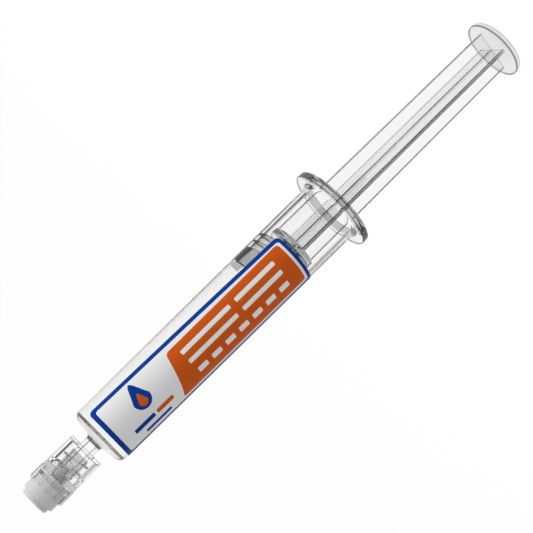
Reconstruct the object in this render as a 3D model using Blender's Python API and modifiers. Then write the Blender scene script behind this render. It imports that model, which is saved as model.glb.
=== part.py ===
"""A 10 ml luer-lock syringe of clear plastic, filled with solder flux gel and capped.

All sizes are metres. The syringe stands on its thumb disc, with +Z up its axis to the
nozzle, and the origin is the centre of the thumb disc's outer face.
"""

import math

import bmesh
import bpy
from mathutils import Matrix, Vector

# Faceting: every turned piece has the same sides, so the facets of neighbours line up
SIDES = 48
ARC_STEPS = 2
FINE_RADIUS = 0.00025

# Clearances between pieces
SEAL_GAP = 0.0001
SEAT_GAP = 0.0001
TURN_GAP = 0.00015
FILM_GAP = 0.00005
THREAD_GAP = 0.00008

# Plunger rod: thumb disc, four crossed ribs, front disc and the stud of the stopper
THUMB_DISC_DIA = 0.0180
THUMB_DISC_THICK = 0.0015
DISC_EDGE_RADIUS = 0.0004
RIB_LENGTH = 0.0797
RIB_THICK = 0.0012
RIB_EDGE_RADIUS = 0.0002
RIB_TO_BORE = 0.00125
RIB_DRAFT = 0.0005
RIB_HEADING = math.radians(250.0)
FRONT_DISC_THICK = 0.0018
FRONT_DISC_TO_BORE = 0.0010
STUD_NECK_DIA = 0.0056
STUD_NECK_BARE = 0.0019
STUD_HEAD_DIA = 0.0088
STUD_HEAD_THICK = 0.0022

# Rubber stopper, from its front to its back
STOPPER_CONE = 0.0009
FRONT_SEAL_LENGTH = 0.0056
GROOVE_LENGTH = 0.0015
GROOVE_DEPTH = 0.0008
MIDDLE_SEAL_LENGTH = 0.0011
WAIST_LENGTH = 0.0013
REAR_SEAL_LENGTH = 0.0014
STOPPER_EDGE_RADIUS = 0.0002
STOPPER_LIP = 0.0022

# Barrel: bore, drafted wall, finger flange, shoulder, neck and luer tip
BORE_DIA = 0.0157
BORE_LENGTH = 0.0868
FILL_LENGTH = 0.0564
WALL_AT_NOZZLE = 0.00065
WALL_AT_FLANGE = 0.00125
FLANGE_OVERHANG = 0.00345
FLANGE_THICK = 0.0019
FLANGE_EDGE_RADIUS = 0.0003
FLANGE_FILLET = 0.0011
MOUTH_CHAMFER = 0.0005
MOUTH_CHAMFER_LENGTH = 0.0011
BORE_END_RADIUS = 0.0004
INNER_CONE = 0.0009
SHOULDER_WALL = 0.0014
SHOULDER_CONE = 0.0008
SHOULDER_RADIUS = 0.0010
NECK_DIA = 0.00455
NECK_FILLET = 0.0009
NECK_FOOT = 0.0008
TIP_LENGTH = 0.01085
TIP_EDGE_RADIUS = 0.00015
LUER_TAPER = 0.06
CHANNEL_DIA = 0.0022

# Luer-lock collar: its web sits in a groove of the neck
COLLAR_STANDOFF = 0.00285
COLLAR_LENGTH = 0.0085
COLLAR_WALL = 0.00135
COLLAR_DRAFT = 0.00015
COLLAR_EDGE_RADIUS = 0.0002
WEB_THICK = 0.0009
NECK_GROOVE_DEPTH = 0.00025

# Luer-lock thread: a ridge on the cap's tube and a shorter one inside the collar
THREAD_PITCH = 0.0025
CAP_RIDGE_HEIGHT = 0.0010
COLLAR_RIDGE_HEIGHT = 0.0006
RIDGE_BASE = 0.0006
RIDGE_CREST = 0.0003
RIDGE_ROOT = 0.00015
RIDGE_END_MARGIN = 0.0008
RIDGE_TOP_HEADING = math.radians(126.0)
COLLAR_RIDGE_TURNS = 0.95
THREAD_ROOT_GAP = 0.00035

# Cap shell: threaded tube, ring and ribbed grip sleeve
TUBE_WALL = 0.00045
TUBE_LENGTH = 0.0066
RING_THICK = 0.0019
RING_LIP = 0.00005
SLEEVE_LENGTH = 0.0042
SLEEVE_WALL = 0.0004
GRIP_RIBS = 12
GRIP_RIB_HEIGHT = 0.0002
GRIP_RIB_WIDTH = 0.0009
GRIP_RIB_HEADING = math.radians(265.0)
SNAP_BEAD = 0.0004

# Cap plug: boss, body, waist under the snap bead, stem through the ring and seal pin
PLUG_BODY_DIA = 0.0096
PLUG_BODY_LENGTH = 0.0050
PLUG_EDGE_RADIUS = 0.0004
BOSS_DIA = 0.0081
BOSS_LENGTH = 0.0013
BOSS_EDGE_RADIUS = 0.0005
WAIST_DEPTH = 0.0006
WAIST_HEIGHT = 0.0010
PLUG_FOOT_THICK = 0.0007
STEM_DIA = 0.0036
PIN_LENGTH = 0.0015
PIN_TO_CHANNEL = 0.00025

# Label: a film wrapped round the near side of the barrel
FILM_THICK = 0.00012
LABEL_FRONT_MARGIN = 0.0028
LABEL_BACK_MARGIN = 0.0171
LABEL_CORNER_RADIUS = 0.0014
LABEL_HEADING = math.radians(270.0)
LABEL_TOP_AT_NOZZLE = math.radians(46.0)
LABEL_TOP_AT_FLANGE = math.radians(38.0)
LABEL_BOTTOM = math.radians(-88.0)

# Heights up the axis that follow from the sizes
RIBS_TOP = THUMB_DISC_THICK + RIB_LENGTH
FRONT_DISC_TOP = RIBS_TOP + FRONT_DISC_THICK
STOPPER_BACK = FRONT_DISC_TOP + STUD_NECK_BARE
STOPPER_LENGTH = (
    FRONT_SEAL_LENGTH + GROOVE_LENGTH + MIDDLE_SEAL_LENGTH + WAIST_LENGTH + REAR_SEAL_LENGTH
)
STOPPER_FRONT = STOPPER_BACK + STOPPER_LENGTH
BORE_END = STOPPER_FRONT + FILL_LENGTH
FLANGE_BACK = BORE_END - BORE_LENGTH
FLANGE_FRONT = FLANGE_BACK + FLANGE_THICK
SHOULDER_RIM = BORE_END + SHOULDER_WALL
SHOULDER_TOP = SHOULDER_RIM + SHOULDER_CONE
TIP_END = SHOULDER_TOP + TIP_LENGTH
COLLAR_BACK = SHOULDER_TOP + COLLAR_STANDOFF
COLLAR_FRONT = COLLAR_BACK + COLLAR_LENGTH
RING_BACK = COLLAR_FRONT + SEAT_GAP
RING_FRONT = RING_BACK + RING_THICK
TUBE_END = RING_BACK - TUBE_LENGTH
SLEEVE_END = RING_FRONT + SLEEVE_LENGTH
PLUG_FOOT = RING_FRONT + SEAT_GAP
WAIST_BACK = PLUG_FOOT + PLUG_FOOT_THICK
BODY_BACK = WAIST_BACK + WAIST_HEIGHT
BODY_FRONT = BODY_BACK + PLUG_BODY_LENGTH
CAP_END = BODY_FRONT + BOSS_LENGTH

# Radii that follow from the sizes
BORE_R = BORE_DIA / 2
CHANNEL_R = CHANNEL_DIA / 2
NOZZLE_WALL_R = BORE_R + WALL_AT_NOZZLE
FLANGE_WALL_R = BORE_R + WALL_AT_FLANGE
FLANGE_R = FLANGE_WALL_R + FLANGE_OVERHANG
SEAL_R = BORE_R - SEAL_GAP


def wall_radius(height):
    """Outer radius of the drafted barrel wall at a height."""
    share = (height - FLANGE_FRONT) / (SHOULDER_RIM - FLANGE_FRONT)
    return FLANGE_WALL_R + (NOZZLE_WALL_R - FLANGE_WALL_R) * share


def tip_radius(height):
    """Radius of the neck and tip, which share the luer taper."""
    return (NECK_DIA - LUER_TAPER * (height - SHOULDER_TOP)) / 2


TUBE_R = tip_radius(TUBE_END) + SEAT_GAP + TUBE_WALL
CAP_RIDGE_R = TUBE_R + CAP_RIDGE_HEIGHT
COLLAR_BORE_R = CAP_RIDGE_R + THREAD_ROOT_GAP
COLLAR_R = COLLAR_BORE_R + COLLAR_WALL
SLEEVE_BORE_R = PLUG_BODY_DIA / 2 + TURN_GAP
SLEEVE_R = SLEEVE_BORE_R + SLEEVE_WALL


def clear_scene():
    """Remove whatever the scene holds."""
    for obj in list(bpy.data.objects):
        bpy.data.objects.remove(obj, do_unlink=True)


def new_collection(name, shown):
    """A collection linked to the scene, for parts or for the shapes that cut and join them."""
    collection = bpy.data.collections.new(name)
    collection.hide_render = not shown
    bpy.context.scene.collection.children.link(collection)
    return collection


def finish(name, color, roughness, transmission=0.0, alpha=1.0):
    """One Principled material with the piece's colour and roughness."""
    material = bpy.data.materials.new(name)
    material.use_nodes = True
    shader = material.node_tree.nodes["Principled BSDF"]
    shader.inputs["Base Color"].default_value = (*color, 1.0)
    shader.inputs["Roughness"].default_value = roughness
    shader.inputs["Metallic"].default_value = 0.0
    shader.inputs["Transmission Weight"].default_value = transmission
    shader.inputs["Alpha"].default_value = alpha
    return material


def place(name, mesh, collection, material=None):
    """Put a mesh in a collection as a named object."""
    obj = bpy.data.objects.new(name, mesh)
    collection.objects.link(obj)
    if material is not None:
        mesh.materials.append(material)
    return obj


def as_operand(obj):
    """Mark an object that only cuts or joins another."""
    obj.hide_render = True
    obj.display_type = "WIRE"
    return obj


def with_arcs(corners):
    """Profile points, where a corner given with a third number is rounded to that radius.

    A radius of FINE_RADIUS or less becomes a plain chamfer.
    """
    points = []
    for i, corner in enumerate(corners):
        here = Vector(corner[:2])
        if len(corner) == 2:
            points.append(here)
            continue
        back = (Vector(corners[i - 1][:2]) - here).normalized()
        ahead = (Vector(corners[(i + 1) % len(corners)][:2]) - here).normalized()
        half = back.angle(ahead) / 2
        centre = here + (back + ahead).normalized() * (corner[2] / math.sin(half))
        start = here + back * (corner[2] / math.tan(half)) - centre
        end = here + ahead * (corner[2] / math.tan(half)) - centre
        steps = ARC_STEPS if corner[2] > FINE_RADIUS else 1
        for step in range(steps + 1):
            points.append(centre + start.slerp(end, step / steps).normalized() * corner[2])
    return points


def turned(name, corners, collection, material=None):
    """Turn a profile of (radius, height) corners about the Z axis.

    The profile runs down its outer side. One whose ends lie on the axis stays open there,
    and any other is closed into a ring.
    """
    points = with_arcs(corners)
    on_axis = corners[0][0] == 0.0 and corners[-1][0] == 0.0
    edges = [(i, i + 1) for i in range(len(points) - 1)]
    if not on_axis:
        edges.append((len(points) - 1, 0))
    mesh = bpy.data.meshes.new(name)
    mesh.from_pydata([(point.x, 0.0, point.y) for point in points], edges, [])
    obj = place(name, mesh, collection, material)
    screw = obj.modifiers.new("turn", "SCREW")
    screw.axis = "Z"
    screw.steps = SIDES
    screw.render_steps = SIDES
    screw.use_merge_vertices = True
    screw.merge_threshold = 0.00001
    screw.use_smooth_shade = False
    return obj


def combine(target, operand, operation):
    """Cut a shape from a piece or join it on."""
    boolean = target.modifiers.new(operand.name, "BOOLEAN")
    boolean.operation = operation
    boolean.solver = "EXACT"
    boolean.object = as_operand(operand)


def rib_plate(name, heading, width, bottom, top, collection):
    """A flat plate across the axis, narrower at its foot, with its long edges rounded."""
    sheet = bmesh.new()
    bmesh.ops.create_cube(sheet, size=1.0, matrix=Matrix.Diagonal((width, RIB_THICK, top - bottom, 1.0)))
    upright = [edge for edge in sheet.edges if abs(edge.verts[0].co.z - edge.verts[1].co.z) > 0.0]
    bmesh.ops.bevel(
        sheet, geom=upright, offset=RIB_EDGE_RADIUS, affect="EDGES", segments=2, profile=0.5, material=-1
    )
    for vert in sheet.verts:
        if vert.co.z < 0.0:
            vert.co.x -= math.copysign(RIB_DRAFT, vert.co.x)
    turn = Matrix.Translation((0.0, 0.0, (bottom + top) / 2)) @ Matrix.Rotation(heading, 4, "Z")
    bmesh.ops.transform(sheet, matrix=turn, verts=sheet.verts)
    mesh = bpy.data.meshes.new(name)
    sheet.to_mesh(mesh)
    sheet.free()
    return place(name, mesh, collection)


def helical_ridge(name, root_r, crest_r, top_height, top_heading, turns, collection):
    """A right-hand screw ridge, swept down from its top end.

    Its section is a trapezoid from root_r, inside the wall that it joins, to crest_r.
    """
    sheet = bmesh.new()
    section = [
        sheet.verts.new((root_r, 0.0, -RIDGE_BASE / 2)),
        sheet.verts.new((crest_r, 0.0, -RIDGE_CREST / 2)),
        sheet.verts.new((crest_r, 0.0, RIDGE_CREST / 2)),
        sheet.verts.new((root_r, 0.0, RIDGE_BASE / 2)),
    ]
    face = sheet.faces.new(section)
    start = Matrix.Translation((0.0, 0.0, top_height)) @ Matrix.Rotation(top_heading, 4, "Z")
    bmesh.ops.transform(sheet, matrix=start, verts=sheet.verts)
    steps = round(SIDES * turns)
    bmesh.ops.spin(
        sheet,
        geom=[face, *face.edges, *face.verts],
        cent=(0.0, 0.0, 0.0),
        axis=(0.0, 0.0, 1.0),
        dvec=(0.0, 0.0, -THREAD_PITCH * turns / steps),
        angle=-2 * math.pi * turns,
        steps=steps,
        use_duplicate=False,
    )
    bmesh.ops.recalc_face_normals(sheet, faces=sheet.faces)
    mesh = bpy.data.meshes.new(name)
    sheet.to_mesh(mesh)
    sheet.free()
    return place(name, mesh, collection)


def build_plunger_rod(parts, operands, material):
    """Thumb disc, crossed ribs, front disc and stud, as one moulding."""
    rod = turned(
        "plunger_rod",
        [
            (0.0, THUMB_DISC_THICK),
            (THUMB_DISC_DIA / 2, THUMB_DISC_THICK, DISC_EDGE_RADIUS),
            (THUMB_DISC_DIA / 2, 0.0, DISC_EDGE_RADIUS),
            (0.0, 0.0),
        ],
        parts,
        material,
    )
    head_top = STOPPER_BACK + STOPPER_LIP + STUD_HEAD_THICK
    neck_r = STUD_NECK_DIA / 2
    front = turned(
        "rod_front",
        [
            (0.0, head_top),
            (STUD_HEAD_DIA / 2 * 0.6, head_top, DISC_EDGE_RADIUS),
            (STUD_HEAD_DIA / 2, STOPPER_BACK + STOPPER_LIP + STUD_HEAD_THICK / 2),
            (STUD_HEAD_DIA / 2, STOPPER_BACK + STOPPER_LIP),
            (neck_r, STOPPER_BACK + STOPPER_LIP),
            (neck_r, FRONT_DISC_TOP, DISC_EDGE_RADIUS),
            (BORE_R - FRONT_DISC_TO_BORE, FRONT_DISC_TOP, DISC_EDGE_RADIUS),
            (BORE_R - FRONT_DISC_TO_BORE, RIBS_TOP, DISC_EDGE_RADIUS),
            (0.0, RIBS_TOP),
        ],
        operands,
    )
    combine(rod, front, "UNION")
    width = 2 * (BORE_R - RIB_TO_BORE)
    for i in range(2):
        plate = rib_plate(
            f"rod_ribs_{i + 1}",
            RIB_HEADING + i * math.pi / 2,
            width,
            THUMB_DISC_THICK / 2,
            RIBS_TOP + FRONT_DISC_THICK / 2,
            operands,
        )
        combine(rod, plate, "UNION")
    return rod


def build_stopper(parts, material):
    """Rubber stopper with its three seals and the undercut cavity that grips the stud."""
    middle_front = STOPPER_FRONT - FRONT_SEAL_LENGTH - GROOVE_LENGTH
    waist_front = middle_front - MIDDLE_SEAL_LENGTH
    rear_front = STOPPER_BACK + REAR_SEAL_LENGTH
    groove_r = SEAL_R - GROOVE_DEPTH
    head_r = STUD_HEAD_DIA / 2 + SEAT_GAP
    lip = STOPPER_BACK + STOPPER_LIP
    cavity_top = lip + STUD_HEAD_THICK + SEAT_GAP
    return turned(
        "plunger_stopper",
        [
            (0.0, STOPPER_FRONT + STOPPER_CONE),
            (SEAL_R, STOPPER_FRONT, STOPPER_EDGE_RADIUS),
            (SEAL_R, STOPPER_FRONT - FRONT_SEAL_LENGTH, STOPPER_EDGE_RADIUS),
            (groove_r, STOPPER_FRONT - FRONT_SEAL_LENGTH),
            (groove_r, middle_front),
            (SEAL_R, middle_front, STOPPER_EDGE_RADIUS),
            (SEAL_R, waist_front, STOPPER_EDGE_RADIUS),
            (groove_r, waist_front),
            (groove_r, rear_front),
            (SEAL_R, rear_front, STOPPER_EDGE_RADIUS),
            (SEAL_R, STOPPER_BACK, STOPPER_EDGE_RADIUS),
            (STUD_NECK_DIA / 2 + SEAT_GAP, STOPPER_BACK),
            (STUD_NECK_DIA / 2 + SEAT_GAP, lip - SEAT_GAP),
            (head_r, lip - SEAT_GAP),
            (head_r, lip + STUD_HEAD_THICK / 2),
            (STUD_HEAD_DIA / 2 * 0.6 + SEAT_GAP, cavity_top),
            (0.0, cavity_top),
        ],
        parts,
        material,
    )


def build_barrel(parts, material):
    """Barrel in one piece, from the finger flange to the luer tip, with its bore and channel."""
    groove_back = COLLAR_BACK - SEAT_GAP
    groove_front = COLLAR_BACK + WEB_THICK + SEAT_GAP
    return turned(
        "barrel",
        [
            (tip_radius(TIP_END), TIP_END, TIP_EDGE_RADIUS),
            (tip_radius(groove_front), groove_front),
            (tip_radius(groove_front) - NECK_GROOVE_DEPTH, groove_front),
            (tip_radius(groove_back) - NECK_GROOVE_DEPTH, groove_back),
            (tip_radius(groove_back), groove_back),
            (tip_radius(SHOULDER_TOP + NECK_FOOT), SHOULDER_TOP, NECK_FILLET),
            (wall_radius(SHOULDER_RIM) - SHOULDER_RADIUS, SHOULDER_RIM, SHOULDER_RADIUS / 2),
            (wall_radius(SHOULDER_RIM), SHOULDER_RIM - SHOULDER_RADIUS, SHOULDER_RADIUS / 2),
            (wall_radius(FLANGE_FRONT), FLANGE_FRONT, FLANGE_FILLET),
            (FLANGE_R, FLANGE_FRONT, FLANGE_EDGE_RADIUS),
            (FLANGE_R, FLANGE_BACK, FLANGE_EDGE_RADIUS),
            (BORE_R + MOUTH_CHAMFER, FLANGE_BACK),
            (BORE_R, FLANGE_BACK + MOUTH_CHAMFER_LENGTH),
            (BORE_R, BORE_END, BORE_END_RADIUS),
            (CHANNEL_R, BORE_END + INNER_CONE),
            (CHANNEL_R, TIP_END),
        ],
        parts,
        material,
    )


def build_flux(parts, material):
    """The gel, which fills the bore from the stopper's front to the shoulder."""
    return turned(
        "flux",
        [
            (0.0, BORE_END + INNER_CONE - SEAL_GAP),
            (CHANNEL_R, BORE_END + INNER_CONE - SEAL_GAP),
            (SEAL_R, BORE_END - SEAL_GAP, BORE_END_RADIUS),
            (SEAL_R, STOPPER_FRONT + SEAL_GAP),
            (0.0, STOPPER_FRONT + STOPPER_CONE + SEAL_GAP),
        ],
        parts,
        material,
    )


def ridge_height(heading):
    """Height of the cap ridge's middle where it passes a heading, on its highest turn."""
    top = RING_BACK - RIDGE_END_MARGIN
    return top - THREAD_PITCH * (RIDGE_TOP_HEADING - heading) / (2 * math.pi)


def flank_offset():
    """How far the collar's ridge rides above the cap's ridge, flank on flank."""
    return (RIDGE_BASE + RIDGE_CREST) / 2 + THREAD_GAP


def build_collar(parts, operands, material):
    """Luer-lock collar with a short internal ridge and a web that snaps on the neck."""
    web_front = COLLAR_BACK + WEB_THICK
    web_r = tip_radius(COLLAR_BACK) - NECK_GROOVE_DEPTH + SEAT_GAP
    collar = turned(
        "luer_lock_collar",
        [
            (COLLAR_R, COLLAR_FRONT, COLLAR_EDGE_RADIUS),
            (COLLAR_R - COLLAR_DRAFT, COLLAR_BACK, COLLAR_EDGE_RADIUS),
            (web_r, COLLAR_BACK),
            (web_r, web_front),
            (COLLAR_BORE_R, web_front, COLLAR_EDGE_RADIUS),
            (COLLAR_BORE_R, COLLAR_FRONT),
        ],
        parts,
        material,
    )
    top = COLLAR_FRONT - RIDGE_BASE
    drop = ridge_height(RIDGE_TOP_HEADING) + flank_offset() - top
    heading = RIDGE_TOP_HEADING - drop * 2 * math.pi / THREAD_PITCH
    ridge = helical_ridge(
        "collar_ridge",
        COLLAR_BORE_R + RIDGE_ROOT,
        COLLAR_BORE_R - COLLAR_RIDGE_HEIGHT,
        top,
        heading,
        COLLAR_RIDGE_TURNS,
        operands,
    )
    combine(collar, ridge, "UNION")
    return collar


def build_cap_shell(parts, operands, material):
    """Clear part of the cap: tube with the cap's thread, ring and ribbed sleeve."""
    tube_bore = tip_radius(TIP_END) + SEAT_GAP
    tube_mouth = tip_radius(TUBE_END) + SEAT_GAP
    ring_hole = STEM_DIA / 2 + TURN_GAP
    bead_back = WAIST_BACK + TURN_GAP
    bead_front = BODY_BACK - TURN_GAP
    shell = turned(
        "cap_shell",
        [
            (SLEEVE_R, SLEEVE_END, SLEEVE_WALL / 2),
            (SLEEVE_R, RING_FRONT),
            (SLEEVE_R + RING_LIP, RING_FRONT),
            (SLEEVE_R + RING_LIP, RING_BACK, DISC_EDGE_RADIUS / 2),
            (TUBE_R, RING_BACK),
            (TUBE_R, TUBE_END),
            (tube_mouth, TUBE_END),
            (tube_bore, TIP_END),
            (ring_hole, TIP_END),
            (ring_hole, RING_FRONT),
            (SLEEVE_BORE_R, RING_FRONT),
            (SLEEVE_BORE_R, bead_back),
            (SLEEVE_BORE_R - SNAP_BEAD, (bead_back + bead_front) / 2),
            (SLEEVE_BORE_R, bead_front),
            (SLEEVE_BORE_R, SLEEVE_END),
        ],
        parts,
        material,
    )
    ridge = helical_ridge(
        "cap_ridge",
        TUBE_R - RIDGE_ROOT,
        CAP_RIDGE_R,
        ridge_height(RIDGE_TOP_HEADING),
        RIDGE_TOP_HEADING,
        (TUBE_LENGTH - 2 * RIDGE_END_MARGIN) / THREAD_PITCH,
        operands,
    )
    combine(shell, ridge, "UNION")
    combine(shell, grip_ribs(operands), "UNION")
    return shell


def grip_ribs(operands):
    """The ring of straight ribs on the sleeve, as one set of bars."""
    inner = SLEEVE_R - SLEEVE_WALL / 2
    outer = SLEEVE_R + GRIP_RIB_HEIGHT
    bottom = RING_FRONT - RING_THICK / 4
    top = SLEEVE_END - SLEEVE_WALL
    size = Matrix.Diagonal((outer - inner, GRIP_RIB_WIDTH, top - bottom, 1.0))
    middle = Matrix.Translation(((inner + outer) / 2, 0.0, (bottom + top) / 2))
    sheet = bmesh.new()
    for i in range(GRIP_RIBS):
        turn = Matrix.Rotation(GRIP_RIB_HEADING + 2 * math.pi * i / GRIP_RIBS, 4, "Z")
        bmesh.ops.create_cube(sheet, size=1.0, matrix=turn @ middle @ size)
    crowns = [
        edge
        for edge in sheet.edges
        if min(Vector(vert.co.xy).length for vert in edge.verts) > (inner + outer) / 2
        and abs(edge.verts[0].co.z - edge.verts[1].co.z) > 0.0
    ]
    bmesh.ops.bevel(
        sheet, geom=crowns, offset=GRIP_RIB_HEIGHT / 2, affect="EDGES", segments=1, profile=0.5, material=-1
    )
    mesh = bpy.data.meshes.new("grip_ribs")
    sheet.to_mesh(mesh)
    sheet.free()
    return place("grip_ribs", mesh, operands)


def build_cap_plug(parts, material):
    """White core of the cap: boss, body, waist, foot, stem and seal pin."""
    body_r = PLUG_BODY_DIA / 2
    waist_r = body_r - WAIST_DEPTH
    stem_end = TIP_END + SEAT_GAP
    pin_r = CHANNEL_R - PIN_TO_CHANNEL
    return turned(
        "cap_plug",
        [
            (0.0, CAP_END),
            (BOSS_DIA / 2, CAP_END, BOSS_EDGE_RADIUS),
            (BOSS_DIA / 2, BODY_FRONT),
            (body_r, BODY_FRONT, PLUG_EDGE_RADIUS),
            (body_r, BODY_BACK),
            (waist_r, BODY_BACK),
            (waist_r, WAIST_BACK),
            (body_r, WAIST_BACK),
            (body_r, PLUG_FOOT),
            (STEM_DIA / 2, PLUG_FOOT),
            (STEM_DIA / 2, stem_end),
            (pin_r, stem_end),
            (pin_r, stem_end - PIN_LENGTH, pin_r / 2),
            (0.0, stem_end - PIN_LENGTH),
        ],
        parts,
        material,
    )


def build_label(parts, material):
    """Label film: a flat panel with round corners, scored at each facet and wrapped on."""
    back = FLANGE_FRONT + LABEL_BACK_MARGIN
    front = SHOULDER_RIM - LABEL_FRONT_MARGIN
    girth = wall_radius((back + front) / 2)
    outline = [
        (LABEL_BOTTOM * girth, back),
        (LABEL_TOP_AT_FLANGE * girth, back),
        (LABEL_TOP_AT_NOZZLE * girth, front),
        (LABEL_BOTTOM * girth, front),
    ]
    sheet = bmesh.new()
    corners = [sheet.verts.new((x, 0.0, z)) for x, z in outline]
    sheet.faces.new(corners)
    bmesh.ops.bevel(
        sheet,
        geom=corners,
        offset=LABEL_CORNER_RADIUS,
        affect="VERTICES",
        segments=2 * ARC_STEPS,
        profile=0.5,
        material=-1,
    )
    facet = 2 * math.pi / SIDES
    first = math.ceil((LABEL_HEADING + LABEL_BOTTOM) / facet)
    last = math.floor((LABEL_HEADING + LABEL_TOP_AT_NOZZLE) / facet)
    for i in range(first, last + 1):
        score = (i * facet - LABEL_HEADING) * girth
        everything = [*sheet.verts, *sheet.edges, *sheet.faces]
        bmesh.ops.bisect_plane(
            sheet, geom=everything, dist=1e-7, plane_co=(score, 0.0, 0.0), plane_no=(1.0, 0.0, 0.0)
        )
    for vert in sheet.verts:
        heading = LABEL_HEADING + vert.co.x / girth
        radius = wall_radius(vert.co.z) + FILM_GAP
        vert.co.xy = (radius * math.cos(heading), radius * math.sin(heading))
    bmesh.ops.recalc_face_normals(sheet, faces=sheet.faces)
    sheet.faces.ensure_lookup_table()
    middle = max(sheet.faces, key=lambda face: face.calc_area())
    if middle.normal.xy.dot(middle.calc_center_median().xy) < 0:
        bmesh.ops.reverse_faces(sheet, faces=sheet.faces)
    mesh = bpy.data.meshes.new("label")
    sheet.to_mesh(mesh)
    sheet.free()
    label = place("label", mesh, parts, material)
    film = label.modifiers.new("film", "SOLIDIFY")
    film.thickness = FILM_THICK
    film.offset = 1.0
    return label


def main():
    """Build the syringe."""
    clear_scene()
    parts = new_collection("flux_syringe", shown=True)
    operands = new_collection("cutters", shown=False)
    build_plunger_rod(parts, operands, finish("clear_rod", (0.93, 0.94, 0.94), 0.05, 1.0, 0.35))
    build_stopper(parts, finish("grey_rubber", (0.38, 0.39, 0.40), 0.45))
    build_barrel(parts, finish("clear_barrel", (0.93, 0.94, 0.94), 0.04, 1.0, 0.30))
    build_flux(parts, finish("flux_gel", (0.90, 0.90, 0.87), 0.20, 0.6, 0.80))
    build_collar(parts, operands, finish("clear_collar", (0.92, 0.92, 0.92), 0.06, 1.0, 0.35))
    build_cap_shell(parts, operands, finish("clear_cap", (0.90, 0.91, 0.91), 0.12, 0.9, 0.45))
    build_cap_plug(parts, finish("white_plug", (0.83, 0.83, 0.83), 0.40))
    build_label(parts, finish("silver_film", (0.75, 0.76, 0.78), 0.35))


main()
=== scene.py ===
"""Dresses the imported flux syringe: a clear luer-lock syringe with flux gel, label and twist cap.

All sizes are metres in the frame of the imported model: the thumb disc's outer face is at zero,
+Z runs up the axis to the nozzle, and -Y goes through the middle of the label.
"""

import logging
import math
from collections.abc import Iterable, Sequence
from dataclasses import dataclass, field
from enum import Enum, IntEnum

import bmesh
import bpy
from mathutils import Matrix, Vector


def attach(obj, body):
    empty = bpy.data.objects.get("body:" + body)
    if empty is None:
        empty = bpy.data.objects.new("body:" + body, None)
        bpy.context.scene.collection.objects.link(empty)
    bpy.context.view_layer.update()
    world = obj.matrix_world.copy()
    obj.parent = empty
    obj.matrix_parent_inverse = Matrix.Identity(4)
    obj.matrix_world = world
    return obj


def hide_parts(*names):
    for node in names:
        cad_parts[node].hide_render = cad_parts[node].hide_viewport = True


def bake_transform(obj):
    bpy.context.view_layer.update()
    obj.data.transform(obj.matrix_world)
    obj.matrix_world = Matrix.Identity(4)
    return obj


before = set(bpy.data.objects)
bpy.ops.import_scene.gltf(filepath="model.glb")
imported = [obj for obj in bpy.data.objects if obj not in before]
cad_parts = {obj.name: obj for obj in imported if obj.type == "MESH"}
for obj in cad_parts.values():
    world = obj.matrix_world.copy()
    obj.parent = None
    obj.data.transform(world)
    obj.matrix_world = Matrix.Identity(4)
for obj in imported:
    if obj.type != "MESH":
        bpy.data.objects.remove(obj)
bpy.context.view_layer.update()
LOG = logging.getLogger("flux_syringe")

SHADE_ZONE = "shade_zone"

Colour = tuple[float, float, float]
Corner = tuple[float, ...]


class Body(Enum):
    """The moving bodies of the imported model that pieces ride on."""

    PLUNGER = "plunger"
    BARREL = "barrel"
    CAP_PLUG = "cap_plug"
    CAP_SHELL = "cap_shell"


class Print(IntEnum):
    """The inks of the label, in the order of its material slots."""

    SILVER = 0
    BLUE = 1
    WHITE = 2
    ORANGE = 3


class ShadeZone(IntEnum):
    """The kinds of face of a clear piece, each with its own painted shade."""

    SURFACE = 0
    EDGE = 1
    BORE = 2
    HAZE = 3


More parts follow.
